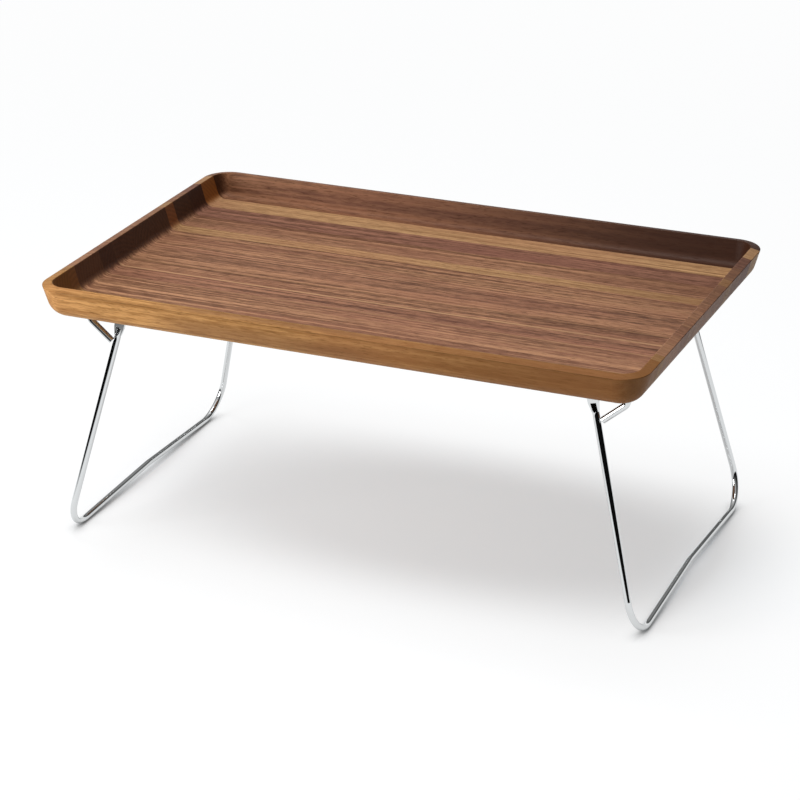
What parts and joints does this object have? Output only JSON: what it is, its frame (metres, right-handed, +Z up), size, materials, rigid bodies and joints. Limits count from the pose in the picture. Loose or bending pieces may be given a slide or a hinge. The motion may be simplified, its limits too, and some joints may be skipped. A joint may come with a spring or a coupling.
{
  "type": "bed tray table",
  "caption": "Rectangular dished walnut bed tray with a flared rim, on chromed wire legs that fold flat under it and lean on bent wire stops when open.",
  "frame": {"origin": "on the ground under the middle of the tray, legs open", "axes": "+X along the tray's long side to the right, +Y from the front edge to the back edge, +Z up"},
  "size_m": [0.5596, 0.3556, 0.25],
  "materials": {
    "walnut_honey": "satin oiled",
    "walnut_gold": "satin oiled",
    "walnut_mid": "satin oiled",
    "walnut_red": "satin oiled",
    "walnut_dark": "satin oiled",
    "batten_walnut": "satin oiled",
    "chrome_wire": "bright polished plating",
    "plated_steel": "bright zinc plating",
    "screw_steel": "bright zinc plating"
  },
  "bodies": {
    "tray": {"stave_01": "walnut_honey", "stave_02": "walnut_gold", "stave_03": "walnut_mid", "stave_04": "walnut_red", "stave_05": "walnut_mid", "stave_06": "walnut_dark", "stave_07": "walnut_mid", "stave_08": "walnut_gold", "stave_09": "walnut_mid", "stave_10": "walnut_red", "stave_11": "walnut_gold", "stave_12": "walnut_dark", "batten_left": "batten_walnut", "batten_right": "batten_walnut", "stop_wire_left": "chrome_wire", "stop_wire_right": "chrome_wire", "clip_left_front": "plated_steel", "clip_left_back": "plated_steel", "clip_right_front": "plated_steel", "clip_right_back": "plated_steel", "pivot_screws": "screw_steel", "pivot_washers": "screw_steel", "batten_screws": "screw_steel", "clip_screws": "screw_steel"},
    "leg_left": {"leg_left": "chrome_wire"},
    "leg_right": {"leg_right": "chrome_wire"}
  },
  "joints": [
    {"name": "leg_left_fold", "type": "hinge", "parent": "tray", "child": "leg_left", "pos_m": [-0.22, 0, 0.212], "axis": [0, -1, 0], "range_deg": [0, 104]},
    {"name": "leg_right_fold", "type": "hinge", "parent": "tray", "child": "leg_right", "pos_m": [0.22, 0, 0.212], "axis": [0, 1, 0], "range_deg": [0, 104]}
  ]
}
